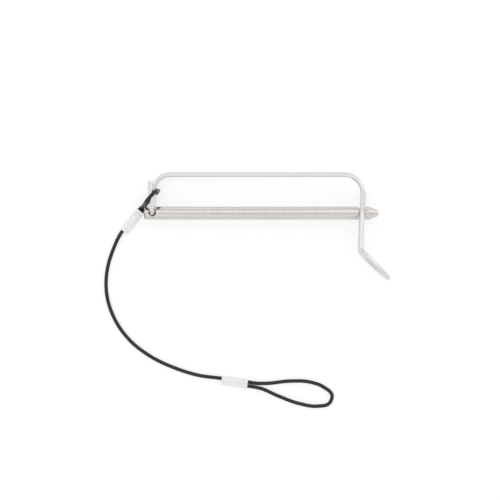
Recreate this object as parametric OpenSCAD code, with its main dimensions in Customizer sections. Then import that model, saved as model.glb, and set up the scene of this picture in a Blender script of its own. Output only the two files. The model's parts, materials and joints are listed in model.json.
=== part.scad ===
// A lock pin with a hinged wire bail and a coated cable tether, lying as it comes to rest.
// The spring wire passes through a cross hole near the pin's head, runs along the pin as a bail,
// and its two strands close on a groove near the pin's nose. The ring at the wire's bend is for
// a finger. The tether is one length of coated cable, with an eye round the bail and a loop at
// the far end, each closed by a crimped sleeve.
// Shapes are drawn with the cross hole's centre at [0, 0, 0], the pin along X and the bail in the
// XY plane. place() then tips the bail onto the surface, which is at Z = 0.

/* [Pin] */
// Diameter of the pin's grip
pin_d = 6.35; // [5.5:0.05:7.5]
// Head end of the pin to the centre of the cross hole
head_l = 4; // [3.6:0.1:6]
// Centre of the cross hole to the centre of the latch groove
latch_x = 100.4; // [80:0.1:130]
// Centre of the latch groove to the end of the nose
tip_l = 7.8; // [6.8:0.1:11]
// Length of the tapered nose
nose_l = 4.5; // [2:0.1:4.8]
// Diameter of the flat on the nose's end
nose_d = 2.8; // [2:0.1:4]
// Diameter at the bottom of the latch groove
groove_d = 5; // [4:0.05:5.2]
// Chamfer of the head end
head_chamfer = 0.6; // [0.2:0.05:1]
// How far the radius falls away past the cross hole, at the head end
head_relief = 0.06; // [0.02:0.01:0.2]

/* [Bail] */
// Diameter of the spring wire
wire_d = 2.38; // [1.8:0.02:2.8]
// Pin axis to the wire's axis on the bail's long side, at the hinge
hinge_h = 19.2; // [15:0.1:26]
// Pin axis to the wire's axis on the bail's long side, at the latch
latch_h = 18.1; // [15:0.1:26]
// Pin axis to the cut end of the wire beside the hinge
hinge_end_l = 14.9; // [13:0.1:20]
// How far that cut end leans towards the head
hinge_lean = 1; // [0:0.1:2]
// Bend radius of the bail's hinge corner, at the wire's axis
hinge_corner_r = 8; // [5:0.1:10]
// Bend radius of the bail's latch corner, at the wire's axis
latch_corner_r = 9; // [5:0.1:10]
// Bend radius where the wire turns into the cross hole, at the wire's axis
hole_bend_r = 1.9; // [1.5:0.05:2.2]
// Pin axis to the cut end of the wire beside the latch
latch_end_l = 11.1; // [8:0.1:13]
// How far that cut end leans towards the nose
latch_lean = 1.6; // [0:0.1:2]
// How far each strand lies off the groove's centre line, along the pin
strand_offset = 0.2; // [0:0.05:0.6]
// How far the front strand leans, from the long side to the groove and from there to the ring
strand_lean = 0.6; // [0:0.05:1]

/* [Finger ring] */
// Pin axis to the bend where the ring begins
drop = 18.2; // [15:0.1:22]
// Slope of the ring away from the pin
ring_angle = 45; // [35:1:55]
// Length of the ring, at the wire's axis
ring_l = 18.4; // [16:0.1:24]
// Width of the ring, at the wire's axis
ring_w = 18; // [17:0.1:21]
// Width between the strands where the ring begins, at the wire's axis
neck_w = 10.6; // [10.6:0.1:12]
// Turn of the ring about its own length
ring_twist = 4; // [0:0.5:8]

/* [Tether] */
// Diameter of the coated cable
cable_d = 1.8; // [1.2:0.05:1.9]
// Length of each crimped sleeve
sleeve_l = 12.8; // [10:0.1:16]
// Wall of a crimped sleeve, beside its two strands
sleeve_wall = 0.4; // [0.4:0.05:0.8]
// How much thicker than one cable a sleeve is, where it lies flat
sleeve_fat = 1.1; // [1:0.1:1.6]
// Depth of the bands pressed into a sleeve
crimp_depth = 0.2; // [0.1:0.05:0.3]

/* [Clearances] */
// Between the wire and the cross hole, all round
hole_clear = 0.31; // [0.2:0.01:0.5]
// Between a strand and the pin beside the cross hole
hinge_clear = 0.28; // [0.15:0.01:0.5]
// Between a strand and the bottom of the latch groove
pinch_clear = 0.11; // [0.05:0.01:0.3]
// Between a strand and the latch groove's wall beside it
groove_play = 0.26; // [0.25:0.01:0.6]
// Between the tether's eye and the strand that rests over it
eye_clear = 0.15; // [0.05:0.01:0.4]

/* [Hidden] */

pin_r = pin_d / 2;
wire_r = wire_d / 2;
cable_r = cable_d / 2;
groove_r = groove_d / 2;
groove_w = wire_d + 2 * (strand_offset + groove_play);
hole_r = wire_r + hole_clear;
hole_chamfer = 0.35;
relief_w = 1.2;
nose_rim = 0.4;
overcut = 1;

// half the distance between the strands, at the wire's axis
hinge_z = pin_r + wire_r + hinge_clear;
pinch_z = groove_r + wire_r + pinch_clear;
strand_splay = 0.4;
latch_corner_z = pinch_z + strand_splay;

// strands where they cross the latch groove
front_x = latch_x - strand_offset;
rear_x = latch_x + strand_offset;

// the wire is drawn thinner in its bends, and a bend runs on into the straight wire beside it
bend_slim = 0.01;
bend_lap = 0.1;

// directions of the finger ring: along it, square to it in the bail's plane, and across it
ring_u = [cos(ring_angle), -sin(ring_angle), 0];
ring_n = [sin(ring_angle), cos(ring_angle), 0];
ring_v = [0, 0, cos(ring_twist)] - sin(ring_twist) * ring_n;
ring_root = [front_x - strand_lean, -drop, 0];
ring_side = ring_w / 2;
ring_flat = 0.2;
ring_bend_r = (ring_w - ring_flat) / 2;
shoulder_l = 3.6;
shoulder_r = 6;
shoulder_turn = atan2(ring_side - neck_w / 2, shoulder_l);
neck_r = 3.6;
groove_bend_r = 20;

// the part lies on the ring, on the latch end of the wire and, where the rear strand crosses it, on the
// tether's eye
eye_y = 9.1;
ring_rest = ring_root + (shoulder_l + shoulder_r * tan(shoulder_turn / 2)) * ring_u - ring_side * ring_v;
rest_slope = (ring_side * cos(ring_twist) - hinge_z - cable_d - eye_clear) / (eye_y - ring_rest[1]);
rest_tilt = atan(rest_slope);
rest_drop = rest_slope * ring_rest[1] - ring_rest[2];
pin_height = rest_drop * cos(rest_tilt) + wire_r;
latch_end_z = rest_slope * latch_end_l - rest_drop;

// middle of the pin's and bail's outline, seen from above
ring_tip = ring_root + ring_l * ring_u;
origin_x = (ring_tip[0] + wire_r - head_l) / 2;
origin_y = ((hinge_h + ring_tip[1]) * cos(rest_tilt) - hinge_z * sin(rest_tilt)) / 2;

// the wire's corners, from the cut end beside the hinge to the cut end beside the latch, and the bend
// at each
wire_path = [
    [-hinge_lean, hinge_end_l, hinge_z],
    [0, 0, hinge_z],
    [0, 0, -hinge_z],
    [0, hinge_h, -hinge_z],
    [front_x + strand_lean, latch_h, latch_corner_z],
    [front_x, 0, pinch_z],
    ring_root + neck_w / 2 * ring_v,
    ring_root + shoulder_l * ring_u + ring_side * ring_v,
    ring_root + ring_l * ring_u + ring_side * ring_v,
    ring_root + ring_l * ring_u - ring_side * ring_v,
    ring_root + shoulder_l * ring_u - ring_side * ring_v,
    ring_root - neck_w / 2 * ring_v,
    [rear_x, 0, -pinch_z],
    [rear_x + latch_lean, latch_end_l, latch_end_z]
];
wire_bends = [0, hole_bend_r, hole_bend_r, hinge_corner_r, latch_corner_r, groove_bend_r,
    neck_r, shoulder_r, ring_bend_r, ring_bend_r, shoulder_r, neck_r, shoulder_r, 0];

function unit(v) = v / norm(v);
function heading(i) = unit(wire_path[i + 1] - wire_path[i]);
function turn(i) = acos(heading(i - 1) * heading(i));
// way towards the inside of the bend at a corner
function inward(i) = unit(heading(i) - (heading(i) * heading(i - 1)) * heading(i - 1));
function set_back(i) = wire_bends[i] == 0 ? 0 : wire_bends[i] * tan(turn(i) / 2);
function feed(i) = norm(wire_path[i + 1] - wire_path[i]) - set_back(i) - set_back(i + 1);
// angle by which a bend runs on into the straight wire at each end, so that they join
function lap(bend) = bend_lap / bend * 180 / PI;
// turn of the wire about itself between the bend at one corner and the next
function roll(i) = let (side = cross(heading(i - 1), inward(i)), bent = cross(side, heading(i)))
    atan2(inward(i + 1) * side, inward(i + 1) * bent);

// tips the pin and bail about the pin's axis onto the surface
module place() {
    translate([-origin_x, -origin_y, pin_height]) rotate([-rest_tilt, 0, 0]) children();
}

// feeds straight wire, bends it towards local +X, and goes on from there to the last corner
module wire_from(i) {
    last = len(wire_path) - 2;
    cylinder(h = feed(i), r = wire_r, $fn = 48);
    if (i < last) {
        bend = wire_bends[i + 1];
        angle = turn(i + 1);
        translate([bend, 0, feed(i)]) {
            rotate([90, 0, 180]) rotate([0, 0, -lap(bend)])
                rotate_extrude(angle = angle + 2 * lap(bend), $fn = 180)
                    translate([bend, 0]) circle(r = wire_r - bend_slim, $fn = 48);
            rotate([0, angle, 0]) translate([-bend, 0, 0])
                if (i + 1 < last) rotate([0, 0, roll(i + 1)]) wire_from(i + 1);
                else wire_from(i + 1);
        }
    }
}

module bail_wire() {
    x = inward(1);
    z = heading(0);
    y = cross(z, x);
    p = wire_path[0];
    color([0.82, 0.82, 0.80]) place()
        multmatrix([[x[0], y[0], z[0], p[0]], [x[1], y[1], z[1], p[1]], [x[2], y[2], z[2], p[2]]])
            wire_from(0);
}

// half outline of the pin, as [radius, distance along the pin from the cross hole]
pin_outline = [
    [0, -head_l],
    [pin_r - head_relief - head_chamfer, -head_l],
    [pin_r - head_relief, head_chamfer - head_l],
    [pin_r, hole_r + relief_w],
    [pin_r, latch_x - groove_w / 2],
    [groove_r, latch_x - groove_w / 2],
    [groove_r, latch_x + groove_w / 2],
    [pin_r, latch_x + groove_w / 2],
    [pin_r, latch_x + tip_l - nose_l],
    [nose_d / 2 + nose_rim / 2, latch_x + tip_l - nose_rim],
    [nose_d / 2, latch_x + tip_l],
    [0, latch_x + tip_l]
];

module pin() {
    color([0.78, 0.77, 0.74]) place() difference() {
        rotate([0, 90, 0]) rotate_extrude($fn = 96) polygon(pin_outline);
        cylinder(h = 2 * pin_d, r = hole_r, center = true, $fn = 48);
        for (side = [0, 180]) rotate([side, 0, 0]) translate([0, 0, pin_r - hole_chamfer])
            cylinder(h = 2 * hole_chamfer, r1 = hole_r, r2 = hole_r + 2 * hole_chamfer, $fn = 48);
    }
}

// the cable's route from the cut end in the eye's sleeve to the cut end in the loop's sleeve, as
// [along the pin from the cross hole, across it, height of the cable's underside above the surface]
route = [
    // from the cut end, through the eye's sleeve and under the rear strand
    [-13.5, -9.3, 0.6], [-5.7, 0.7, 0.6], [-4.4, 3.5, 0.2], [-3, 5.6, 0.1], [-1.2, 7.6, 0.1], [0.7, 9.5, 0],
    // round and back over the front strand
    [1.7, 10.4, 0.6], [2.3, 11, 2], [2.3, 11, 4.7], [2.2, 10.9, 8], [1.9, 10.5, 11.1], [1.5, 10, 12.9],
    [0.6, 9, 13.9], [-0.8, 7.5, 14.1], [-2.4, 5.8, 13], [-3.3, 4.9, 10.1], [-4.1, 4.2, 7],
    [-4.8, 3.6, 4.2], [-5.8, 2.9, 2],
    // back through the eye's sleeve
    [-7.2, 1.8, 0.6], [-15.2, -8.5, 0.6],
    // the long curve between the sleeves
    [-19.6, -17, 0.1], [-22.8, -28, 0], [-22.9, -39.5, 0], [-19.1, -51.2, 0], [-11.5, -61.8, 0],
    [-1.8, -69.3, 0], [9.8, -74.9, 0], [21.8, -78.6, 0.1],
    // through the loop's sleeve
    [32.7, -80, 0.6], [45.7, -81.8, 0.6],
    // out along the loop and back
    [49.4, -82.4, 0.3], [55, -82.5, 0], [66, -81.4, 0], [75.5, -81.8, 0], [82.3, -84.2, 0], [86.6, -88.5, 0],
    [85.3, -92.1, 0], [79.5, -93.6, 0], [70.5, -92.3, 0], [60.5, -88.7, 0], [52, -85, 0.2],
    // back through the loop's sleeve to the other cut end
    [45.5, -83.7, 0.6], [32.8, -81.9, 0.6]
];
// where the cable comes back to the eye's sleeve and enters the loop's, and the stretches that run
// straight, which are those in the sleeves
eye_return = 19;
loop_entry = 29;
straight = [for (i = [0 : len(route) - 1])
    i == 0 || i == eye_return || i == loop_entry || i == len(route) - 2];
ring_step = 4.5;
tube_sides = 8;

function span(i) = norm(route[i + 1] - route[i]);
// direction of the cable at a route point: along a straight stretch beside it, and elsewhere between
// the two stretches beside it, nearer the shorter one's
function lean(i) = straight[i] ? unit(route[i + 1] - route[i])
    : straight[i - 1] ? unit(route[i] - route[i - 1])
    : unit((route[i + 1] - route[i]) * span(i - 1) / span(i)
        + (route[i] - route[i - 1]) * span(i) / span(i - 1));
// point and direction at a share t of the stretch after route point i
function on_route(i, t) =
    let (a = route[i], b = route[i + 1], u = lean(i) * span(i), v = lean(i + 1) * span(i))
    a + u * t + (3 * (b - a) - 2 * u - v) * t * t + (2 * (a - b) + u + v) * t * t * t;
function steps(i) = max(1, round(span(i) / ring_step));
centres = [
    for (i = [0 : len(route) - 2], k = [0 : steps(i) - 1]) on_route(i, k / steps(i)),
    route[len(route) - 1]
];
function tube_way(i) = unit(centres[min(i + 1, len(centres) - 1)] - centres[max(i - 1, 0)]);
function tube_ring(i) = let (z = tube_way(i), x = unit(cross([0, 0, 1], z)), y = cross(z, x))
    [for (k = [0 : tube_sides - 1]) let (a = 360 * (k + 0.5) / tube_sides)
        centres[i] + [0, 0, cable_r] + cable_r * (cos(a) * x + sin(a) * y)];

module tether_cable() {
    n = len(centres);
    m = tube_sides;
    color([0.08, 0.08, 0.09]) translate([-origin_x, -origin_y, 0]) polyhedron(
        points = [for (i = [0 : n - 1]) each tube_ring(i)],
        faces = [
            [for (k = [0 : m - 1]) k],
            [for (k = [m - 1 : -1 : 0]) (n - 1) * m + k],
            for (i = [0 : n - 2], k = [0 : m - 1])
                [i * m + k, (i + 1) * m + k, (i + 1) * m + (k + 1) % m, i * m + (k + 1) % m]
        ]
    );
}

// the two strands in a sleeve lie beside each other, a little apart, and the sleeve bites into them
strand_gap = 0.05;
bite = 0.02;
sleeve_w = 2 * (cable_d + sleeve_wall) + strand_gap;
sleeve_r = (cable_d + sleeve_fat) / 2;
// one band is pressed in near the plain end and the others near the rim
bands = 3;
band_pitch = 1.4;
band_w = 0.7;
plain_w = 1.1;
rim_w = 1.2;
rim_flare = 0.25;

// start of a band and end of the one before it, along the sleeve
function band_start(i) = i == 0 ? plain_w : sleeve_l - rim_w - band_w - (bands - 1 - i) * band_pitch;
function band_end(i) = i < 0 ? 0 : band_start(i) + band_w;

// outline of a sleeve's section, grown by g
module oval(g) {
    for (side = [-1, 1]) translate([side * (sleeve_w / 2 - sleeve_r), 0]) circle(r = sleeve_r + g, $fn = 64);
    square([sleeve_w - 2 * sleeve_r, 2 * (sleeve_r + g)], center = true);
}

// a crimped sleeve along Z, its flared rim at the far end, for two strands of cable beside each other on X
module sleeve() {
    difference() {
        union() {
            linear_extrude(sleeve_l) oval(-crimp_depth);
            for (i = [0 : bands - 1]) translate([0, 0, band_end(i - 1)])
                linear_extrude(band_start(i) - band_end(i - 1)) oval(0);
            translate([0, 0, sleeve_l - rim_w]) linear_extrude(rim_w) oval(rim_flare - crimp_depth);
        }
        for (side = [-1, 1]) translate([side * (cable_d + strand_gap) / 2, 0, -overcut])
            cylinder(h = sleeve_l + 2 * overcut, r = cable_r - bite, $fn = 48);
    }
}

// lays a sleeve on the surface round the route's stretches from points i and j to the next, with its rim
// at the end where the first of them leaves it
module on_stretches(i, j) {
    middle = (route[i] + route[i + 1] + route[j] + route[j + 1]) / 4;
    way = route[i + 1] - route[i];
    translate([middle[0] - origin_x, middle[1] - origin_y, sleeve_r + rim_flare - crimp_depth])
        rotate([0, 0, atan2(way[1], way[0])]) rotate([90, 0, 90]) translate([0, 0, -sleeve_l / 2]) sleeve();
}

module eye_sleeve() {
    color([0.9, 0.9, 0.9]) on_stretches(0, eye_return);
}

module loop_sleeve() {
    color([0.9, 0.9, 0.9]) on_stretches(loop_entry, len(route) - 2);
}

pin();
bail_wire();
tether_cable();
eye_sleeve();
loop_sleeve();
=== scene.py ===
"""Looks for a splitboard slider pin: a steel pin with a hinged wire bail and a coated cable tether."""

import json
import logging
import math
from dataclasses import dataclass, replace
from enum import Enum

import bmesh
import bpy
from mathutils import Matrix, Vector

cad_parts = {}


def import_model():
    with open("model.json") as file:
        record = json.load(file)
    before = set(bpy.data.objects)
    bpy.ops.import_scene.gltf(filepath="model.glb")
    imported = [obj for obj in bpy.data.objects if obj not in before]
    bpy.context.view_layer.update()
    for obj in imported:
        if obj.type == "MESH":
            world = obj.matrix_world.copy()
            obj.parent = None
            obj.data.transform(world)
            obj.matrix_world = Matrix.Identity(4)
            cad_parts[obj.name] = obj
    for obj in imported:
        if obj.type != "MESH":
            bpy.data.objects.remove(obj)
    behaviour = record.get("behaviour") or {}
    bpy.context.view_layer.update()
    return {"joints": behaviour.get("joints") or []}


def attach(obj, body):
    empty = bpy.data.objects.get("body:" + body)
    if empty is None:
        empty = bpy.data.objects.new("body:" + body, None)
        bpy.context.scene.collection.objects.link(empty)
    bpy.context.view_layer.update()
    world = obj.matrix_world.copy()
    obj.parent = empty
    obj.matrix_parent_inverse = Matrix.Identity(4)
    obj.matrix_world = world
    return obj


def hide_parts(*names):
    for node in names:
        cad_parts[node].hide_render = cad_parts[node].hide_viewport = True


LOG = logging.getLogger("slider_pin")
MM = 0.001
UP = Vector((0, 0, 1))
# Points nearer than this, in mm, count as one.
TINY = 1e-4
# Middle of the camera's view, in mm from the pin's cross hole.
VIEW_MIDDLE = Vector((46.7, -17.7, 0))

Colour = tuple[float, float, float]
Place = tuple[float, float, float]
Edge = bmesh.types.BMEdge
Piece = bpy.types.Object
Shape = bmesh.types.BMesh
Socket = bpy.types.NodeSocket
Vert = bmesh.types.BMVert


class Body(Enum):
    """Bodies that pieces ride on."""

    BAIL = "bail"
    PIN = "pin"


# --------------------
# Meshes


def finish_mesh(name: str, bm: Shape, scale: float = MM, crisp: float = 40.0) -> Piece:
    """Turns a bmesh into a finished object at the origin.

    Args:
        name: name of the piece.
        bm: the shape, in the row frame. It is freed.
        scale: metres per unit of the shape.
        crisp: edges that turn more than this, in degrees, stay crisp.

    Returns:
        The new object, linked to the scene.
    """
    bmesh.ops.scale(bm, vec=(scale,) * 3, verts=bm.verts)
    bmesh.ops.recalc_face_normals(bm, faces=bm.faces)
    limit = math.radians(crisp)
    for face in bm.faces:
        face.smooth = True
    for edge in bm.edges:
        edge.smooth = edge.is_manifold and edge.calc_face_angle() < limit
    mesh = bpy.data.meshes.new(name)
    bm.to_mesh(mesh)
    bm.free()
    obj = bpy.data.objects.new(name, mesh)
    bpy.context.scene.collection.objects.link(obj)
    return obj


def dress(obj: Piece, material: bpy.types.Material) -> None:
    """Gives every face of an object one material."""
    obj.data.materials.clear()
    obj.data.materials.append(material)


def draw_on(bm: Shape, ring: list[Vert], edges: list[Edge]) -> tuple[list[Vert], list[Edge]]:
    """Extrudes the open end of a tube.

    Args:
        bm: the shape.
        ring: the points of the open end, in order.
        edges: the edges between them.

    Returns:
        The fresh points, which still lie on the old ones and in their order, and the edges between them.
    """
    made = bmesh.ops.extrude_edge_only(bm, edges=edges)["geom"]
    fresh = {g for g in made if isinstance(g, Vert)}
    next_ring = [next(u for u in (e.other_vert(v) for e in v.link_edges) if u in fresh) for v in ring]
    return next_ring, [g for g in made if isinstance(g, Edge) and set(g.verts) <= fresh]


class RoundStock:
    """Round wire or cable under way: a ring of points that is fed and bent, and leaves a tube behind it.

    Each point keeps its place on the straight stock in the attribute "stock", so that a finish can follow
    the stock round its bends.
    """

    def __init__(self, bm: Shape, radius: float, sides: int, start: Matrix) -> None:
        """Starts the stock.

        Args:
            bm: the shape that it is added to.
            radius: radius of the stock.
            sides: points round it.
            start: place of its first section, which lies square to its own Z.
        """
        self.bm = bm
        layers = bm.verts.layers.float_vector
        self.layer = layers.get("stock") or layers.new("stock")
        self.ring = bmesh.ops.create_circle(bm, segments=sides, radius=radius)["verts"]
        self.flat = [v.co.copy() for v in self.ring]
        self.edges = list({e for v in self.ring for e in v.link_edges})
        self.first_edges = list(self.edges)
        self.place = start
        self.run = 0.0
        self.settle()

    def settle(self, swell: tuple[float, ...] | None = None) -> None:
        """Puts the newest ring in its place.

        Args:
            swell: growth of each of the ring's points, as a share of the radius.
        """
        for i, (vert, flat) in enumerate(zip(self.ring, self.flat)):
            grown = flat * (1 + swell[i]) if swell else flat
            vert.co = self.place @ grown
            vert[self.layer] = (flat + UP * self.run) * MM

    def advance(self, place: Matrix, distance: float, swell: tuple[float, ...] | None = None) -> None:
        """Draws the tube on to the next section.

        Args:
            place: place of the next section.
            distance: length of stock that this uses.
            swell: growth of each of the ring's points there, as a share of the radius.
        """
        self.ring, self.edges = draw_on(self.bm, self.ring, self.edges)
        self.place = place
        self.run += distance
        self.settle(swell)

    def feed(self, distance: float, steps: int = 1) -> None:
        """Feeds the stock straight on."""
        for _ in range(steps):
            self.advance(self.place @ Matrix.Translation(UP * distance / steps), distance / steps)

    def bend(self, centre: Vector, axis: Vector, angle: float, radius: float, steps: int) -> None:
        """Bends the stock.

        Args:
            centre: centre of the bend.
            axis: axis of the turn.
            angle: turn, in radians.
            radius: radius of the bend at the stock's middle.
            steps: sections that it takes.
        """
        move = Matrix.Translation(centre)
        turn = move @ Matrix.Rotation(angle / steps, 4, axis) @ move.inverted()
        for _ in range(steps):
            self.advance(turn @ self.place, radius * angle / steps)

    def cut_ends(self, broken: float, segments: int = 3) -> None:
        """Closes both ends with flat cuts whose edges are broken.

        Args:
            broken: how far back from the cut the edge is rounded.
            segments: steps of the rounding.
        """
        for edges in (self.first_edges, self.edges):
            bmesh.ops.contextual_create(self.bm, geom=edges)
            bmesh.ops.bevel(
                self.bm, geom=edges, offset=broken, offset_type="OFFSET", segments=segments, profile=0.5,
                affect="EDGES", material=-1,
            )


# --------------------
# Surface effects and materials


class Sheet:
    """A node tree under construction, with short ways to add to it."""

    def __init__(self, tree: bpy.types.NodeTree) -> None:
        """Takes the tree to add to."""
        self.tree = tree

    def node(self, kind: str, **settings: object) -> bpy.types.Node:
        """Adds a node.

        Args:
            kind: the node's kind, without its "ShaderNode".
            settings: its settings.

        Returns:
            The node.
        """
        made = self.tree.nodes.new("ShaderNode" + kind)
        for label, value in settings.items():
            setattr(made, label, value)
        return made

    def put(self, value: object, socket: Socket) -> None:
        """Links a socket to an input, or sets the input to a plain value."""
        if isinstance(value, Socket):
            self.tree.links.new(value, socket)
        else:
            socket.default_value = value

    def math(self, operation: str, *values: object) -> Socket:
        """Adds a Math node on those values and returns its output."""
        made = self.node("Math", operation=operation)
        for index, value in enumerate(values):
            self.put(value, made.inputs[index])
        return made.outputs[0]

    def vector(self, operation: str, *values: object) -> Socket:
        """Adds a Vector Math node on those values and returns its output."""
        made = self.node("VectorMath", operation=operation)
        for index, value in enumerate(values):
            self.put(value, made.inputs[index])
        return made.outputs["Value" if operation in ("LENGTH", "DOT_PRODUCT") else "Vector"]

    def noise(self, place: Socket, scale: object, detail: float, rough: float = 0.5) -> Socket:
        """Adds noise.

        Args:
            place: where it is read.
            scale: features per metre.
            detail: octaves.
            rough: weight of the finer octaves.

        Returns:
            The noise, 0 to 1.
        """
        made = self.node("TexNoise")
        self.put(place, made.inputs["Vector"])
        self.put(scale, made.inputs["Scale"])
        self.put(detail, made.inputs["Detail"])
        self.put(rough, made.inputs["Roughness"])
        return made.outputs["Fac"]

    def map(
        self, value: Socket, start: float, end: float, low: float = 0.0, high: float = 1.0,
        smooth: bool = False,
    ) -> Socket:
        """Maps a value.

        Args:
            value: the value.
            start: value that gives low.
            end: value that gives high.
            low: result at start.
            high: result at end.
            smooth: whether the change starts and ends gently.

        Returns:
            The mapped value.
        """
        made = self.node("MapRange", interpolation_type="SMOOTHSTEP" if smooth else "LINEAR")
        self.put(value, made.inputs["Value"])
        for label, number in (("From Min", start), ("From Max", end), ("To Min", low), ("To Max", high)):
            self.put(number, made.inputs[label])
        return made.outputs["Result"]

    def blend(self, share: Socket, a: object, b: object) -> Socket:
        """Mixes two colours.

        Args:
            share: share of the second, 0 to 1.
            a: first colour or socket.
            b: second colour or socket.

        Returns:
            The mixed colour.
        """
        made = self.node("Mix", data_type="RGBA")
        self.put(share, made.inputs["Factor"])
        for index, value in ((6, a), (7, b)):
            colour = value if isinstance(value, Socket) else (*value, 1.0)
            self.put(colour, made.inputs[index])
        return made.outputs[2]


class GroupSheet(Sheet):
    """A node group under construction."""

    def __init__(self, name: str, inputs: dict[str, float], outputs: tuple[str, ...]) -> None:
        """Starts a group.

        Args:
            name: name of the group.
            inputs: names and defaults of its number inputs, which follow the place that it is read at.
            outputs: names of its number outputs.
        """
        tree = bpy.data.node_groups.new(name, "ShaderNodeTree")
        super().__init__(tree)
        tree.interface.new_socket("Place", in_out="INPUT", socket_type="NodeSocketVector")
        for label, value in inputs.items():
            socket = tree.interface.new_socket(label, in_out="INPUT", socket_type="NodeSocketFloat")
            socket.default_value = value
        for label in outputs:
            tree.interface.new_socket(label, in_out="OUTPUT", socket_type="NodeSocketFloat")
        self.inputs = tree.nodes.new("NodeGroupInput").outputs
        self.outputs = tree.nodes.new("NodeGroupOutput").inputs


class SurfaceEffects:
    """Node groups for effects that more than one finish uses, each built once."""

    # Noise at which an effect starts, and at which it is full.
    SMUDGE_BAND = (0.35, 0.7)
    SCUFF_BAND = (0.6, 0.72)

    def __init__(self) -> None:
        """Builds the groups."""
        self.grain = self.build_grain()
        self.handling = self.build_handling()
        self.waviness = self.build_waviness()

    def build_grain(self) -> bpy.types.NodeTree:
        """Fine lines along one direction, as drawing, turning or grinding leaves them.

        Returns:
            A group that puts out Lines, 0 to 1.
        """
        sheet = GroupSheet("grain", {"Per X": 100.0, "Per Y": 100.0, "Per Z": 100.0}, ("Lines",))
        scale = sheet.node("CombineXYZ")
        for axis in "XYZ":
            sheet.put(sheet.inputs["Per " + axis], scale.inputs[axis])
        place = sheet.vector("MULTIPLY", sheet.inputs["Place"], scale.outputs[0])
        sheet.put(sheet.noise(place, 1.0, 3.0, 0.6), sheet.outputs["Lines"])
        return sheet.tree

    def build_handling(self) -> bpy.types.NodeTree:
        """Soft smudges and short scuffs from use.

        Returns:
            A group that puts out Smudge and Scuff, both 0 to 1.
        """
        inputs = {"Smudges": 150.0, "Scuffs": 900.0, "Amount": 0.5}
        sheet = GroupSheet("handling", inputs, ("Smudge", "Scuff"))
        place = sheet.inputs["Place"]
        soft = sheet.noise(place, sheet.inputs["Smudges"], 2.0)
        sheet.put(sheet.map(soft, *self.SMUDGE_BAND), sheet.outputs["Smudge"])
        fine = sheet.noise(place, sheet.inputs["Scuffs"], 5.0, 0.65)
        scuff = sheet.math("MULTIPLY", sheet.map(fine, *self.SCUFF_BAND), sheet.inputs["Amount"])
        sheet.put(scuff, sheet.outputs["Scuff"])
        return sheet.tree

    def build_waviness(self) -> bpy.types.NodeTree:
        """Slow swells that a rolled, drawn or dipped surface has, which make its reflections wander.

        Returns:
            A group that puts out Swell, 0 to 1.
        """
        sheet = GroupSheet("waviness", {"Swells": 120.0}, ("Swell",))
        sheet.put(sheet.noise(sheet.inputs["Place"], sheet.inputs["Swells"], 1.0), sheet.outputs["Swell"])
        return sheet.tree


class Skin(Sheet):
    """A material under construction round its Principled shader."""

    def __init__(self, name: str, place: str = "") -> None:
        """Starts a material.

        Args:
            name: name of the material.
            place: attribute that patterns follow, or nothing for the object's own coordinates.
        """
        self.material = bpy.data.materials.new(name)
        self.material.use_nodes = True
        super().__init__(self.material.node_tree)
        self.shader = self.tree.nodes["Principled BSDF"]
        if place:
            self.place = self.node("Attribute", attribute_name=place).outputs["Vector"]
        else:
            self.place = self.node("TexCoord").outputs["Object"]

    def effect(self, group: bpy.types.NodeTree, **values: float) -> bpy.types.NodeOutputs:
        """Places a shared effect.

        Args:
            group: the effect.
            values: its number inputs, named with _ for spaces.

        Returns:
            Its outputs.
        """
        made = self.node("Group", node_tree=group)
        self.put(self.place, made.inputs["Place"])
        for label, value in values.items():
            self.put(value, made.inputs[label.replace("_", " ")])
        return made.outputs

    def feed(self, **sockets: object) -> None:
        """Feeds the shader's inputs, named with _ for spaces, with sockets or plain values."""
        for label, value in sockets.items():
            self.put(value, self.shader.inputs[label.replace("_", " ")])

    def relief(self, *layers: tuple[Socket, float]) -> None:
        """Adds fine relief.

        Args:
            layers: heights, 0 to 1, each with its depth in metres.
        """
        total = None
        for height, depth in layers:
            part = self.math("MULTIPLY", height, depth / MM)
            total = part if total is None else self.math("ADD", total, part)
        bump = self.node("Bump")
        bump.inputs["Distance"].default_value = MM
        self.put(total, bump.inputs["Height"])
        self.feed(Normal=bump.outputs["Normal"])


@dataclass(frozen=True)
class MetalFinish:
    """A bare metal: its colour, gloss, the lines that its making leaves, and the signs of use.

    Lines are counted per metre along X, Y and Z, and depths are in metres. Over the line_band of their
    noise the metal goes from its dark tone to its light one, and from one value of gloss to the other.
    """

    name: str
    light: Colour
    dark: Colour
    gloss: tuple[float, float]
    lines: tuple[float, float, float]
    line_depth: float
    swells: float
    swell_depth: float
    place: str = ""
    metallic: float = 1.0
    line_band: tuple[float, float] = (0.3, 0.7)
    smudge_gloss: tuple[float, float] = (-0.02, 0.04)
    scuff_gloss: float = 0.1

    def start(self, effects: SurfaceEffects) -> tuple[Skin, Socket, Socket]:
        """Builds what every bare metal has.

        Args:
            effects: the shared effects.

        Returns:
            The skin, and its colour and roughness before they reach the shader.
        """
        skin = Skin(self.name, self.place)
        skin.feed(Metallic=self.metallic)
        per_x, per_y, per_z = self.lines
        lines = skin.effect(effects.grain, Per_X=per_x, Per_Y=per_y, Per_Z=per_z)["Lines"]
        use = skin.effect(effects.handling)
        swell = skin.effect(effects.waviness, Swells=self.swells)["Swell"]
        valley, crest = self.line_band
        colour = skin.blend(skin.map(lines, valley, crest), self.dark, self.light)
        smudged = skin.map(use["Smudge"], 0.0, 1.0, *self.smudge_gloss)
        rough = skin.math("ADD", skin.map(lines, valley, crest, *self.gloss), smudged)
        rough = skin.math("ADD", rough, skin.math("MULTIPLY", use["Scuff"], self.scuff_gloss))
        skin.relief((lines, self.line_depth), (swell, self.swell_depth))
        return skin, colour, rough

    def make(self, effects: SurfaceEffects) -> bpy.types.Material:
        """Builds the material from the shared effects."""
        skin, colour, rough = self.start(effects)
        skin.feed(Base_Color=colour, Roughness=rough)
        return skin.material


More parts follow.
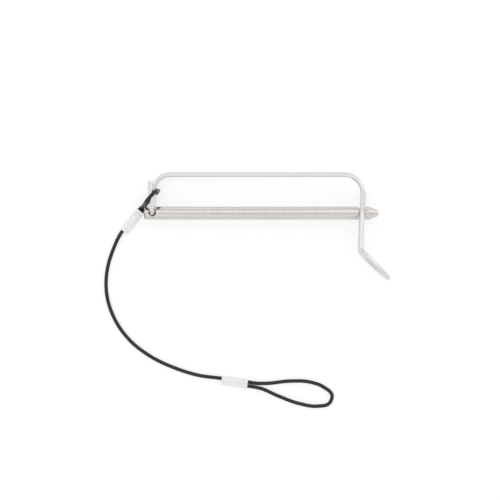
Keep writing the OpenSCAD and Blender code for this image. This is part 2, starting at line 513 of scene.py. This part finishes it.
@dataclass(frozen=True)
class BoredMetalFinish(MetalFinish):
    """A bare metal with a drilled hole. Painted shade darkens the hole and the metal round it, and painted
    shade and reflection of the cable darken its end at low X.

    Lengths are in metres. The end's painted shade fades out over its reach from the end, and its cover
    varies in patches.
    """

    # Colour of the painted shade in the cross hole and its countersinks.
    bore_shade: Colour = (0.13, 0.105, 0.09)
    bore_centre: Place = (0.0, 0.0, 0.0)
    bore_axis: Place = (0.0, 0.0, 1.0)
    # The painted shade reaches this far from the hole's axis, and fades in over bore_fade.
    bore_radius: float = 0.0019
    bore_fade: float = 0.0001
    bore_gloss: float = 0.2
    end_x: float = 0.0
    # Colour of the painted shade and painted reflection of the cable at the end at low X.
    end_shade: Colour = (0.2, 0.16, 0.13)
    end_shade_reach: tuple[float, float] = (0.0011, 0.0003)
    end_shade_cover: tuple[float, float] = (0.1, 0.9)
    shade_patches: float = 700.0
    shade_patch_band: tuple[float, float] = (0.4, 0.6)

    def make(self, effects: SurfaceEffects) -> bpy.types.Material:
        """Builds the material from the shared effects."""
        skin, colour, rough = self.start(effects)
        split = skin.node("SeparateXYZ")
        skin.put(skin.place, split.inputs[0])
        # Painted shade and painted reflection of the cable over the end at low X, in patches.
        shade_patch = skin.map(skin.noise(skin.place, self.shade_patches, 2.0), *self.shade_patch_band, *self.end_shade_cover)
        unshaded_x, full = (self.end_x + reach for reach in self.end_shade_reach)
        end_shaded = skin.math("MULTIPLY", skin.map(split.outputs["X"], unshaded_x, full), shade_patch)
        colour = skin.blend(end_shaded, colour, self.end_shade)
        # Painted shade in and round the cross hole, where the drilled metal is also rougher.
        offset = skin.vector("SUBTRACT", skin.place, self.bore_centre)
        away = skin.vector("LENGTH", skin.vector("CROSS_PRODUCT", offset, self.bore_axis))
        near = skin.map(away, self.bore_radius - self.bore_fade, self.bore_radius, 1.0, 0.0, smooth=True)
        rough = skin.math("ADD", rough, skin.math("MULTIPLY", near, self.bore_gloss))
        skin.feed(Base_Color=skin.blend(near, colour, self.bore_shade), Roughness=rough)
        return skin.material


@dataclass(frozen=True)
class CoatingFinish:
    """Black plastic coating over laid cable, softly glossy."""

    name: str
    colour: Colour
    scuffed: Colour
    gloss: tuple[float, float]
    smudges: float
    scuffs: float
    scuff_amount: float
    scuff_depth: float
    swells: float
    swell_depth: float
    shine: float

    def make(self, effects: SurfaceEffects) -> bpy.types.Material:
        """Builds the material from the shared effects."""
        skin = Skin(self.name, "stock")
        skin.feed(Specular_IOR_Level=self.shine)
        use = skin.effect(
            effects.handling, Smudges=self.smudges, Scuffs=self.scuffs, Amount=self.scuff_amount
        )
        swell = skin.effect(effects.waviness, Swells=self.swells)["Swell"]
        colour = skin.blend(use["Scuff"], self.colour, self.scuffed)
        skin.feed(Base_Color=colour, Roughness=skin.map(use["Smudge"], 0.0, 1.0, *self.gloss))
        skin.relief((swell, self.swell_depth), (use["Scuff"], self.scuff_depth))
        return skin.material


GROUND_STEEL = BoredMetalFinish(
    "ground_steel", light=(0.66, 0.635, 0.61), dark=(0.62, 0.595, 0.57), gloss=(0.18, 0.24),
    lines=(1800.0, 60.0, 60.0), line_depth=4e-7, swells=60.0, swell_depth=2e-5,
)
DRAWN_SPRING_STEEL = MetalFinish(
    "drawn_spring_steel", light=(0.72, 0.72, 0.715), dark=(0.67, 0.67, 0.67), gloss=(0.2, 0.28),
    lines=(2500.0, 2500.0, 40.0), line_depth=3e-7, swells=120.0, swell_depth=6e-6, place="stock",
)
CUT_STRAND = MetalFinish(
    "cut_strand", light=(0.6, 0.6, 0.6), dark=(0.4, 0.4, 0.4), gloss=(0.25, 0.35),
    lines=(4000.0, 4000.0, 400.0), line_depth=1e-6, swells=2000.0, swell_depth=2e-6, place="stock",
)
CRIMPED_ALUMINIUM = MetalFinish(
    "crimped_aluminium", light=(0.85, 0.85, 0.85), dark=(0.77, 0.77, 0.77), gloss=(0.34, 0.44),
    lines=(700.0, 700.0, 700.0), line_depth=1e-6, swells=400.0, swell_depth=6e-6, metallic=0.7,
)
BLACK_COATING = CoatingFinish(
    "black_coating", colour=(0.010, 0.010, 0.011), scuffed=(0.03, 0.03, 0.031), gloss=(0.3, 0.44),
    smudges=220.0, scuffs=1500.0, scuff_amount=0.6, scuff_depth=4e-6, swells=400.0, swell_depth=6e-6,
    shine=0.4,
)


# --------------------
# The pin


@dataclass
class LockPin:
    """The ground steel pin, drawn along X with its cross hole at the origin. Lengths are in mm."""

    diameter: float = 6.35
    head_l: float = 4.0
    latch_x: float = 100.4
    tip_l: float = 7.8
    nose_l: float = 4.5
    nose_d: float = 2.8
    nose_bulge: float = 0.04
    nose_steps: int = 8
    groove_d: float = 5.0
    groove_w: float = 3.3
    head_chamfer: float = 0.6
    head_relief: float = 0.06
    relief_end: float = 2.7
    hole_r: float = 1.5
    hole_chamfer: float = 0.35
    hole_sides: int = 64
    edge_break: float = 0.1
    corner_angle: float = 30.0
    overcut: float = 1.0
    sides: int = 128

    @property
    def radius(self) -> float:
        """Radius of the grip."""
        return self.diameter / 2

    def outline(self) -> list[tuple[float, float]]:
        """Half outline from head to nose, as (place along the pin, radius)."""
        r, groove, tip = self.radius, self.groove_w / 2, self.latch_x + self.tip_l
        shoulder = tip - self.nose_l
        nose = []
        for i in range(1, self.nose_steps + 1):
            t = i / self.nose_steps
            bulge = 4 * self.nose_bulge * t * (1 - t)
            nose.append((shoulder + t * self.nose_l, r + t * (self.nose_d / 2 - r) + bulge))
        return [
            (-self.head_l, r - self.head_relief - self.head_chamfer),
            (self.head_chamfer - self.head_l, r - self.head_relief),
            (self.relief_end, r),
            (self.latch_x - groove, r),
            (self.latch_x - groove, self.groove_d / 2),
            (self.latch_x + groove, self.groove_d / 2),
            (self.latch_x + groove, r),
            (shoulder, r),
            *nose,
        ]

    def turned(self) -> Shape:
        """Turns the outline into a closed body with broken edges.

        Returns:
            The body, without its cross hole.
        """
        bm = bmesh.new()
        verts = [bm.verts.new((x, r, 0)) for x, r in self.outline()]
        edges = [bm.edges.new(pair) for pair in zip(verts, verts[1:])]
        bmesh.ops.spin(
            bm, geom=verts + edges, cent=(0, 0, 0), axis=(1, 0, 0), angle=math.tau, steps=self.sides,
            use_merge=True,
        )
        bmesh.ops.remove_doubles(bm, verts=bm.verts, dist=TINY)
        bmesh.ops.contextual_create(bm, geom=[e for e in bm.edges if e.is_boundary and e.verts[0].co.x < 0])
        bmesh.ops.contextual_create(bm, geom=[e for e in bm.edges if e.is_boundary])
        bmesh.ops.recalc_face_normals(bm, faces=bm.faces)
        limit = math.radians(self.corner_angle)
        corners = [e for e in bm.edges if e.is_manifold and e.calc_face_angle() > limit]
        bmesh.ops.bevel(
            bm, geom=corners, offset=self.edge_break, offset_type="OFFSET", segments=3, profile=0.5,
            affect="EDGES", material=-1,
        )
        return bm

    def drill(self) -> Shape:
        """Makes the shape that the drill and its countersinks take away."""
        bm = bmesh.new()
        flare = self.hole_r + self.hole_chamfer
        bmesh.ops.create_cone(
            bm, cap_ends=True, segments=self.hole_sides, radius1=self.hole_r, radius2=self.hole_r,
            depth=2 * self.radius,
        )
        for way in (1, -1):
            rim = [e for e in bm.edges if all(v.co.z * way > self.radius - TINY for v in e.verts)]
            face = next(f for f in bm.faces if all(e in rim for e in f.edges))
            bmesh.ops.translate(bm, verts=face.verts, vec=(0, 0, -way * self.hole_chamfer))
            for size, step in ((flare, self.hole_chamfer), (flare, self.overcut)):
                face = bmesh.ops.extrude_discrete_faces(bm, faces=[face])["faces"][0]
                share = size / Vector(face.verts[0].co.xy).length
                bmesh.ops.scale(bm, vec=(share, share, 1), verts=face.verts)
                bmesh.ops.translate(bm, verts=face.verts, vec=(0, 0, way * step))
        bmesh.ops.recalc_face_normals(bm, faces=bm.faces)
        return bm

    def build(self, placing: Matrix) -> Piece:
        """Makes the pin.

        Args:
            placing: from the pin's own drawing to the row frame, in mm.

        Returns:
            The pin's object.
        """
        body = finish_mesh("pin_blank", self.turned(), scale=1.0)
        drill = finish_mesh("pin_drill", self.drill(), scale=1.0)
        cut = body.modifiers.new("cross_hole", "BOOLEAN")
        cut.operation, cut.solver, cut.object = "DIFFERENCE", "EXACT", drill
        bored = body.evaluated_get(bpy.context.evaluated_depsgraph_get()).to_mesh()
        bm = bmesh.new()
        bm.from_mesh(bored)
        for spent in (body, drill):
            bpy.data.objects.remove(spent)
        bmesh.ops.transform(bm, matrix=placing, verts=bm.verts)
        obj = finish_mesh("ground_pin", bm, crisp=28.0)
        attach(obj, Body.PIN.value)
        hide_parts("pin")
        LOG.info("%s, %d faces", obj.name, len(obj.data.polygons))
        return obj


# --------------------
# The bail


@dataclass
class Bail:
    """The hinged bail: one length of spring wire, from a cut end beside the hinge to one beside the latch.

    It is drawn beside its pin, in the pin's frame. Lengths are in mm and angles in degrees.
    """

    pin: LockPin
    wire_d: float = 2.38
    cable_d: float = 1.8
    hinge_h: float = 19.2
    latch_h: float = 18.1
    hinge_end_l: float = 14.9
    hinge_lean: float = 1.0
    hinge_corner_r: float = 8.0
    latch_corner_r: float = 9.0
    hole_bend_r: float = 1.9
    latch_end_l: float = 11.1
    latch_lean: float = 1.6
    strand_offset: float = 0.2
    strand_lean: float = 0.6
    strand_splay: float = 0.4
    drop: float = 18.2
    ring_angle: float = 45.0
    ring_l: float = 18.4
    ring_w: float = 18.0
    ring_flat: float = 0.2
    neck_w: float = 10.6
    ring_twist: float = 4.0
    shoulder_l: float = 3.6
    shoulder_r: float = 6.0
    neck_r: float = 3.6
    groove_bend_r: float = 20.0
    hinge_clear: float = 0.28
    pinch_clear: float = 0.11
    eye_y: float = 9.1
    eye_clear: float = 0.15
    end_break: float = 0.28
    feed_step: float = 6.0
    bend_step: float = 4.0
    sides: int = 40

    def __post_init__(self) -> None:
        """Works out how the bail lies: on its ring and its latch end, and over the tether's eye."""
        slope, twist = math.radians(self.ring_angle), math.radians(self.ring_twist)
        self.hinge_z = self.pin.radius + self.wire_d / 2 + self.hinge_clear
        self.pinch_z = self.pin.groove_d / 2 + self.wire_d / 2 + self.pinch_clear
        self.front_x = self.pin.latch_x - self.strand_offset
        self.rear_x = self.pin.latch_x + self.strand_offset
        self.along = Vector((math.cos(slope), -math.sin(slope), 0))
        self.across = UP * math.cos(twist) - Vector((math.sin(slope), math.cos(slope), 0)) * math.sin(twist)
        self.root = Vector((self.front_x - self.strand_lean, -self.drop, 0))
        shoulder_turn = math.atan2(self.ring_w / 2 - self.neck_w / 2, self.shoulder_l)
        rest = (
            self.root
            + self.along * (self.shoulder_l + self.shoulder_r * math.tan(shoulder_turn / 2))
            - self.across * self.ring_w / 2
        )
        depth = self.ring_w / 2 * math.cos(twist)
        rise = (depth - self.hinge_z - self.cable_d - self.eye_clear) / (self.eye_y - rest.y)
        tilt = math.atan(rise)
        sunk = rise * rest.y - rest.z
        self.latch_end_z = rise * self.latch_end_l - sunk
        tip = self.root + self.along * self.ring_l
        self.origin = Vector((
            (tip.x + self.wire_d / 2 - self.pin.head_l) / 2,
            ((self.hinge_h + tip.y) * math.cos(tilt) - self.hinge_z * math.sin(tilt)) / 2,
            -(sunk * math.cos(tilt) + self.wire_d / 2),
        ))
        self.placing = Matrix.Translation(-self.origin) @ Matrix.Rotation(-tilt, 4, "X")

    def corners(self) -> list[tuple[Vector, float]]:
        """The wire's corners in order, each with the radius that it is bent to."""
        side = self.across * self.ring_w / 2
        neck = self.across * self.neck_w / 2
        shoulder, tip = self.root + self.along * self.shoulder_l, self.root + self.along * self.ring_l
        tip_r = (self.ring_w - self.ring_flat) / 2
        return [
            (Vector((-self.hinge_lean, self.hinge_end_l, self.hinge_z)), 0),
            (Vector((0, 0, self.hinge_z)), self.hole_bend_r),
            (Vector((0, 0, -self.hinge_z)), self.hole_bend_r),
            (Vector((0, self.hinge_h, -self.hinge_z)), self.hinge_corner_r),
            (Vector((self.front_x + self.strand_lean, self.latch_h, self.pinch_z + self.strand_splay)),
             self.latch_corner_r),
            (Vector((self.front_x, 0, self.pinch_z)), self.groove_bend_r),
            (self.root + neck, self.neck_r),
            (shoulder + side, self.shoulder_r),
            (tip + side, tip_r),
            (tip - side, tip_r),
            (shoulder - side, self.shoulder_r),
            (self.root - neck, self.neck_r),
            (Vector((self.rear_x, 0, -self.pinch_z)), self.shoulder_r),
            (Vector((self.rear_x + self.latch_lean, self.latch_end_l, self.latch_end_z)), 0),
        ]

    def build(self) -> Piece:
        """Feeds and bends the wire.

        Returns:
            The wire's object.
        """
        spots, radii = zip(*self.corners())
        ways = [(b - a).normalized() for a, b in zip(spots, spots[1:])]
        turns = [a.angle(b) for a, b in zip(ways, ways[1:])]
        stub = 2 * self.end_break
        backs = [stub, *(radius * math.tan(turn / 2) for radius, turn in zip(radii[1:], turns)), stub]
        start = Matrix.Translation(spots[0]) @ ways[0].to_track_quat("Z", "Y").to_matrix().to_4x4()
        bm = bmesh.new()
        wire = RoundStock(bm, self.wire_d / 2, self.sides, start)
        wire.feed(stub)
        for i, way in enumerate(ways):
            length = (spots[i + 1] - spots[i]).length - backs[i] - backs[i + 1]
            wire.feed(length, max(1, round(length / self.feed_step)))
            if i < len(turns):
                axis = way.cross(ways[i + 1]).normalized()
                centre = spots[i + 1] - way * backs[i + 1] + axis.cross(way) * radii[i + 1]
                steps = max(3, round(math.degrees(turns[i]) / self.bend_step))
                wire.bend(centre, axis, turns[i], radii[i + 1], steps)
        wire.feed(stub)
        wire.cut_ends(self.end_break)
        bmesh.ops.transform(bm, matrix=self.placing, verts=bm.verts)
        obj = finish_mesh("spring_wire", bm)
        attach(obj, Body.BAIL.value)
        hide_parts("bail_wire")
        LOG.info("%s, %.1f mm of wire", obj.name, wire.run)
        return obj


# --------------------
# The tether


@dataclass
class Tether:
    """The coated cable: one length with an eye round the bail and a loop at its far end.

    The route gives, from one cut end to the other, the place along the pin from its cross hole, the place
    across it, and the height of the cable's underside above the surface, all in mm.
    """

    origin: Vector
    diameter: float = 1.8
    route: tuple[tuple[float, float, float], ...] = (
        (-13.5, -9.3, 0.6), (-5.7, 0.7, 0.6), (-4.4, 3.5, 0.2), (-3, 5.6, 0.1), (-1.2, 7.6, 0.1),
        (0.7, 9.5, 0), (1.7, 10.4, 0.6), (2.3, 11, 2), (2.3, 11, 4.7), (2.2, 10.9, 8), (1.9, 10.5, 11.1),
        (1.5, 10, 12.9), (0.6, 9, 13.9), (-0.8, 7.5, 14.1), (-2.4, 5.8, 13), (-3.3, 4.9, 10.1),
        (-4.1, 4.2, 7), (-4.8, 3.6, 4.2), (-5.8, 2.9, 2), (-7.2, 1.8, 0.6), (-15.2, -8.5, 0.6),
        (-19.6, -17, 0.1), (-22.8, -28, 0), (-22.9, -39.5, 0), (-19.1, -51.2, 0), (-11.5, -61.8, 0),
        (-1.8, -69.3, 0), (9.8, -74.9, 0), (21.8, -78.6, 0.1), (32.7, -80, 0.6), (45.7, -81.8, 0.6),
        (49.4, -82.4, 0.3), (55, -82.5, 0), (66, -81.4, 0), (75.5, -81.8, 0), (82.3, -84.2, 0),
        (86.6, -88.5, 0), (85.3, -92.1, 0), (79.5, -93.6, 0), (70.5, -92.3, 0), (60.5, -88.7, 0),
        (52, -85, 0.2), (45.5, -83.7, 0.6), (32.8, -81.9, 0.6),
    )
    eye_return: int = 19
    eye_top: int = 13
    loop_entry: int = 29
    station: float = 0.55
    sides: int = 36
    strands: int = 6
    lay_length: float = 9.0
    lay_depth: float = 0.022
    end_break: float = 0.1

    def __post_init__(self) -> None:
        """Places the route in the row frame, at the cable's middle, in mm."""
        shift = Vector((-self.origin.x, -self.origin.y, self.diameter / 2))
        self.points = [Vector(spot) + shift for spot in self.route]
        self.centres = [self.points[0]]
        for i in range(len(self.points) - 1):
            steps = max(2, round(self.step(i).length / self.station))
            self.centres += [self.on_route(i, n / steps) for n in range(1, steps + 1)]
        for spot in self.centres:
            spot.z = max(spot.z, self.diameter / 2)

    def straight(self, i: int) -> bool:
        """Whether the cable runs straight from point i to the next, as it does in the sleeves."""
        return i in (0, self.eye_return, self.loop_entry, len(self.points) - 2)

    def step(self, i: int) -> Vector:
        """The way from point i to the next."""
        return self.points[i + 1] - self.points[i]

    def lean(self, i: int) -> Vector:
        """Direction of the cable at point i: a straight stretch's, or else between the steps beside it."""
        if self.straight(i):
            return self.step(i).normalized()
        if self.straight(i - 1):
            return self.step(i - 1).normalized()
        before, after = self.step(i - 1), self.step(i)
        return (after * before.length / after.length + before * after.length / before.length).normalized()

    def on_route(self, i: int, t: float) -> Vector:
        """The point at a share t of the way from point i to the next."""
        a, b, span = self.points[i], self.points[i + 1], self.step(i).length
        u, v = self.lean(i) * span, self.lean(i + 1) * span
        return a + u * t + (3 * (b - a) - 2 * u - v) * t**2 + (2 * (a - b) + u + v) * t**3

    @property
    def length(self) -> float:
        """Length of the cable, in metres."""
        return sum((b - a).length for a, b in zip(self.centres, self.centres[1:])) * MM

    def swell(self, run: float) -> tuple[float, ...]:
        """How the coating dips between the strands under it, round the cable at one place along it."""
        turn = math.tau * run / self.lay_length
        return tuple(
            self.lay_depth * (math.cos(self.strands * math.tau * k / self.sides + turn) - 1) / 2
            for k in range(self.sides)
        )

    def build(self) -> Piece:
        """Lays the cable along its route.

        Returns:
            The cable's object.
        """
        spots = self.centres
        befores, afters = [spots[0], *spots[:-1]], [*spots[1:], spots[-1]]
        ways = [(after - before).normalized() for before, after in zip(befores, afters)]
        turn = ways[0].to_track_quat("Z", "Y")
        start = Matrix.Translation(spots[0]) @ turn.to_matrix().to_4x4()
        bm = bmesh.new()
        cable = RoundStock(bm, self.diameter / 2, self.sides, start)
        cable.settle(self.swell(0.0))
        for before, spot, old, way in zip(spots, spots[1:], ways, ways[1:]):
            turn = old.rotation_difference(way) @ turn
            place = Matrix.Translation(spot) @ turn.to_matrix().to_4x4()
            distance = (spot - before).length
            cable.advance(place, distance, self.swell(cable.run + distance))
        cable.cut_ends(self.end_break, segments=2)
        obj = finish_mesh("coated_cable", bm)
        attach(obj, Body.BAIL.value)
        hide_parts("tether_cable")
        LOG.info("%s, %.1f mm of cable", obj.name, self.length / MM)
        return obj

    def declare(self) -> None:
        """Works out the cable's length, rounded, and does nothing more with it.
        """
        round(self.length, 4)


@dataclass
class StrandEnds:
    """The bare steel strands that show at the cable's two cuts. Lengths are in mm."""

    strand_r: float = 0.15
    ring_r: float = 0.303
    proud: float = 0.05
    depth: float = 0.3
    end_break: float = 0.0375
    sides: int = 12

    def build(self, tether: Tether) -> Piece:
        """Makes the strand ends at both cuts.

        Args:
            tether: the cable.

        Returns:
            Their object.
        """
        bm = bmesh.new()
        spots = tether.centres
        for end, inner in ((spots[0], spots[1]), (spots[-1], spots[-2])):
            out = (end - inner).normalized()
            turn = out.to_track_quat("Z", "Y").to_matrix().to_4x4()
            inside = Matrix.Translation(end - out * self.depth) @ turn
            for k in range(tether.strands + 1):
                angle = math.tau * k / tether.strands
                reach = self.ring_r if k < tether.strands else 0.0
                spot = Vector((reach * math.cos(angle), reach * math.sin(angle), 0))
                strand = RoundStock(bm, self.strand_r, self.sides, inside @ Matrix.Translation(spot))
                strand.feed(self.depth + self.proud)
                strand.cut_ends(self.end_break, segments=1)
        obj = finish_mesh("strand_ends", bm)
        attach(obj, Body.BAIL.value)
        LOG.info("%s, %d strands at each cut", obj.name, tether.strands + 1)
        return obj


@dataclass
class CrimpSleeve:
    """An oval aluminium sleeve crimped onto two strands of cable, which lie beside each other in it.

    Lengths are in mm. Each fall is how far the surface goes down at an edge. The end's falls are given at
    their distances from it.
    """

    name: str
    node: str
    strand: float = 1.8
    strand_gap: float = 0.05
    wall: float = 0.4
    thickness: float = 2.9
    length: float = 12.8
    crimp: float = 0.2
    rim: float = 1.2
    flare: float = 0.25
    band_pitch: float = 1.4
    band_width: float = 0.7
    plain: float = 1.1
    bands: int = 3
    soft: float = 0.16
    band_fall: float = 0.03
    rim_fall: float = 0.04
    end_falls: tuple[tuple[float, float], ...] = ((0.0, 0.14), (0.06, 0.06), (0.2, 0.0))
    lip: float = 0.3
    lip_w: float = 0.08
    lip_fall: float = 0.12
    mouth_depth: float = 1.0
    sides: int = 48

    def stations(self) -> list[tuple[float, float]]:
        """Sections along the sleeve, as (distance from its plain end, growth of the section)."""
        end, soft, sharp = self.length, self.soft, self.soft / 3
        rim, grown, pressed = end - self.rim, self.flare - self.crimp, -self.crimp
        slope = self.band_fall
        found = [(back, -fall) for back, fall in self.end_falls]
        starts = [rim - self.band_width - k * self.band_pitch for k in range(self.bands - 2, -1, -1)]
        for low in (self.plain, *starts):
            high = low + self.band_width
            found += [(low - soft, 0.0), (low - sharp, -slope), (low + sharp, pressed + slope)]
            found += [(low + soft, pressed), (high - soft, pressed), (high - sharp, pressed + slope)]
            if low < starts[-1]:
                found += [(high + sharp, -slope), (high + soft, 0.0)]
        found += [(rim + sharp, grown - self.rim_fall), (rim + soft, grown)]
        return found + [(end - back, grown - fall) for back, fall in reversed(self.end_falls)]

    def build(self, tether: Tether, i: int, j: int) -> Piece:
        """Makes the sleeve round the stretches of cable from route points i and j to the next.

        Args:
            tether: the cable.
            i: start of the stretch that leaves the sleeve at its rim.
            j: start of the other stretch.

        Returns:
            The sleeve's object.
        """
        radius = self.thickness / 2
        half = self.strand + self.wall + self.strand_gap / 2 - radius
        bm = bmesh.new()
        ring = bmesh.ops.create_circle(bm, segments=self.sides, radius=1.0)["verts"]
        bmesh.ops.rotate(bm, verts=ring, matrix=Matrix.Rotation(math.pi / self.sides, 3, "Z"))
        ways = [(v.co.x, v.co.y, math.copysign(half, v.co.x)) for v in ring]
        edges = list(bm.edges)
        ends = [edges]
        for n, (along, growth) in enumerate(self.stations()):
            if n:
                ring, edges = draw_on(bm, ring, edges)
            for vert, (x, y, shift) in zip(ring, ways):
                vert.co = (x * (radius + growth) + shift, y * (radius + growth), along)
        ends.append(edges)
        for rim, depth in zip(ends, (self.mouth_depth, -self.mouth_depth)):
            face = bmesh.ops.contextual_create(bm, geom=rim)["faces"][0]
            bmesh.ops.recalc_face_normals(bm, faces=bm.faces)
            bmesh.ops.inset_region(bm, faces=[face], thickness=self.lip, use_even_offset=True)
            bmesh.ops.inset_region(
                bm, faces=[face], thickness=self.lip_w, depth=-self.lip_fall, use_even_offset=True
            )
            pit = bmesh.ops.extrude_discrete_faces(bm, faces=[face])["faces"][0]
            bmesh.ops.translate(bm, verts=list(pit.verts), vec=(0, 0, depth))
        points = tether.points
        middle = (points[i] + points[i + 1] + points[j] + points[j + 1]) / 4
        middle.z = radius + self.flare - self.crimp
        way = tether.step(i)
        place = (
            Matrix.Translation(middle)
            @ Matrix.Rotation(math.atan2(way.y, way.x) + math.pi / 2, 4, "Z")
            @ Matrix.Rotation(math.pi / 2, 4, "X")
            @ Matrix.Translation((0, 0, -self.length / 2))
        )
        bmesh.ops.transform(bm, matrix=place, verts=bm.verts)
        obj = finish_mesh(self.name, bm, crisp=50.0)
        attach(obj, Body.BAIL.value)
        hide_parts(self.node)
        LOG.info("%s, %d faces", obj.name, len(obj.data.polygons))
        return obj


# --------------------
# The studio


@dataclass(frozen=True)
class Card:
    """A round card with soft edges, which makes the room's light stronger or weaker where it hangs.

    Its direction is a vector about 1 long, from the part to its middle, and its edge is the cosine of the
    angle from there to its rim.
    """

    direction: Place
    edge: float
    change: float


@dataclass
class Studio:
    """A plain pale floor, soft light and a camera straight above the part. Sizes are in metres.

    The levels are the room's light from its near side, at -1, to its far side, at 1.
    """

    aim: Vector
    distance: float = 0.6
    view_width: float = 0.24
    clip: tuple[float, float] = (0.01, 200.0)
    floor_size: float = 60.0
    paper: float = 0.36
    glow: float = 0.66
    brightest: float = 1.3
    levels: tuple[tuple[float, float], ...] = (
        (-1.0, 0.92), (-0.85, 1.06), (-0.6, 1.07), (-0.35, 0.88), (-0.05, 0.88), (0.22, 1.08), (0.5, 1.17),
        (0.75, 0.93), (0.9, 0.76), (1.0, 0.45),
    )
    cards: tuple[Card, ...] = (
        Card((-0.7, -0.7, 0.05), edge=0.93, change=0.2),
        Card((0.66, 0.66, 0.36), edge=0.83, change=1.22),
        Card((-0.4, -0.4, 0.82), edge=0.9, change=1.2),
    )
    box_place: Place = (0.0, 0.5, 0.95)
    box_size: tuple[float, float] = (1.4, 0.3)
    box_level: float = 0.3

    def camera(self) -> None:
        """Puts the camera over the part, looking straight down with +Y up in the view."""
        data = bpy.data.cameras.new("camera")
        data.lens = data.sensor_width * self.distance / self.view_width
        data.clip_start, data.clip_end = self.clip
        obj = bpy.data.objects.new("camera", data)
        obj.location = self.aim + UP * self.distance
        bpy.context.scene.collection.objects.link(obj)
        bpy.context.scene.camera = obj

    def floor(self) -> None:
        """Lays a pale floor that reads as white and keeps the part's shadow."""
        bm = bmesh.new()
        bmesh.ops.create_grid(bm, x_segments=1, y_segments=1, size=self.floor_size / 2)
        obj = finish_mesh("floor", bm, scale=1.0)
        material = bpy.data.materials.new("pale_paper")
        material.use_nodes = True
        sheet = Sheet(material.node_tree)
        sheet.tree.nodes.clear()
        paper = sheet.node("BsdfDiffuse")
        sheet.put((self.paper, self.paper, self.paper, 1.0), paper.inputs["Color"])
        path = sheet.node("LightPath").outputs
        seen = sheet.math("MAXIMUM", path["Is Camera Ray"], path["Is Glossy Ray"])
        seen = sheet.math("MAXIMUM", seen, path["Is Transmission Ray"])
        glow = sheet.node("Emission")
        sheet.put(sheet.math("MULTIPLY", seen, self.glow), glow.inputs["Strength"])
        both = sheet.node("AddShader")
        sheet.put(paper.outputs[0], both.inputs[0])
        sheet.put(glow.outputs[0], both.inputs[1])
        sheet.put(both.outputs[0], sheet.node("OutputMaterial").inputs["Surface"])
        dress(obj, material)

    def room(self) -> None:
        """Fills the room with soft light in bands across it, and hangs a dark card and two bright ones."""
        world = bpy.data.worlds.new("room")
        bpy.context.scene.world = world
        world.use_nodes = True
        sheet = Sheet(world.node_tree)
        sheet.tree.nodes.clear()
        split = sheet.node("SeparateXYZ")
        towards = sheet.node("TexCoord").outputs["Generated"]
        sheet.put(towards, split.inputs[0])
        ramp = sheet.node("ValToRGB")
        for across, level in self.levels:
            stop = ramp.color_ramp.elements.new((across + 1) / 2)
            stop.color = (*(level / self.brightest,) * 3, 1.0)
        for stale in (0, -1):
            ramp.color_ramp.elements.remove(ramp.color_ramp.elements[stale])
        sheet.put(sheet.math("MULTIPLY_ADD", split.outputs["Y"], 0.5, 0.5), ramp.inputs["Fac"])
        light = sheet.node("Background")
        sheet.put(ramp.outputs["Color"], light.inputs["Color"])
        strength = self.brightest
        for card in self.cards:
            facing = sheet.vector("DOT_PRODUCT", towards, card.direction)
            change = sheet.map(facing, card.edge, (card.edge + 1) / 2, 1.0, card.change, smooth=True)
            strength = sheet.math("MULTIPLY", strength, change)
        sheet.put(strength, light.inputs["Strength"])
        sheet.put(light.outputs[0], sheet.node("OutputWorld").inputs["Surface"])

    def soft_box(self) -> None:
        """Hangs a soft box over the far side of the part."""
        data = bpy.data.lights.new("soft_box", "AREA")
        data.shape = "RECTANGLE"
        data.size, data.size_y = self.box_size
        data.energy = self.box_level * math.pi * data.size * data.size_y
        obj = bpy.data.objects.new("soft_box", data)
        obj.location = self.box_place
        obj.rotation_euler = (-obj.location).to_track_quat("-Z", "Y").to_euler()
        obj.visible_camera = False
        bpy.context.scene.collection.objects.link(obj)


def main() -> None:
    """Builds and dresses the part, with its studio."""
    logging.basicConfig(level=logging.INFO, format="%(name)s: %(message)s")
    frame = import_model()
    bpy.context.scene.view_settings.view_transform = "Standard"
    pin = LockPin()
    bail = Bail(pin)
    studio = Studio(aim=(VIEW_MIDDLE - bail.origin) * MM)
    studio.camera()

    tether = Tether(bail.origin)
    cable = tether.build()
    strand_ends = StrandEnds().build(tether)
    eye_crimp = CrimpSleeve("eye_crimp", "eye_sleeve").build(tether, 0, tether.eye_return)
    loop_end = len(tether.points) - 2
    loop_crimp = CrimpSleeve("loop_crimp", "loop_sleeve").build(tether, tether.loop_entry, loop_end)
    tether.declare()
    wire = bail.build()
    ground_pin = pin.build(bail.placing)

    effects = SurfaceEffects()
    hinge = frame["joints"][0]
    steel = replace(
        GROUND_STEEL, bore_centre=tuple(hinge["pos_m"]), bore_axis=tuple(hinge["axis"]),
        end_x=min(corner[0] for corner in ground_pin.bound_box),
    )
    for finish, pieces in (
        (steel, (ground_pin,)),
        (DRAWN_SPRING_STEEL, (wire,)),
        (CUT_STRAND, (strand_ends,)),
        (BLACK_COATING, (cable,)),
        (CRIMPED_ALUMINIUM, (eye_crimp, loop_crimp)),
    ):
        material = finish.make(effects)
        for obj in pieces:
            dress(obj, material)

    studio.floor()
    studio.room()
    studio.soft_box()
    bpy.context.view_layer.update()


if __name__ == "__main__":
    main()
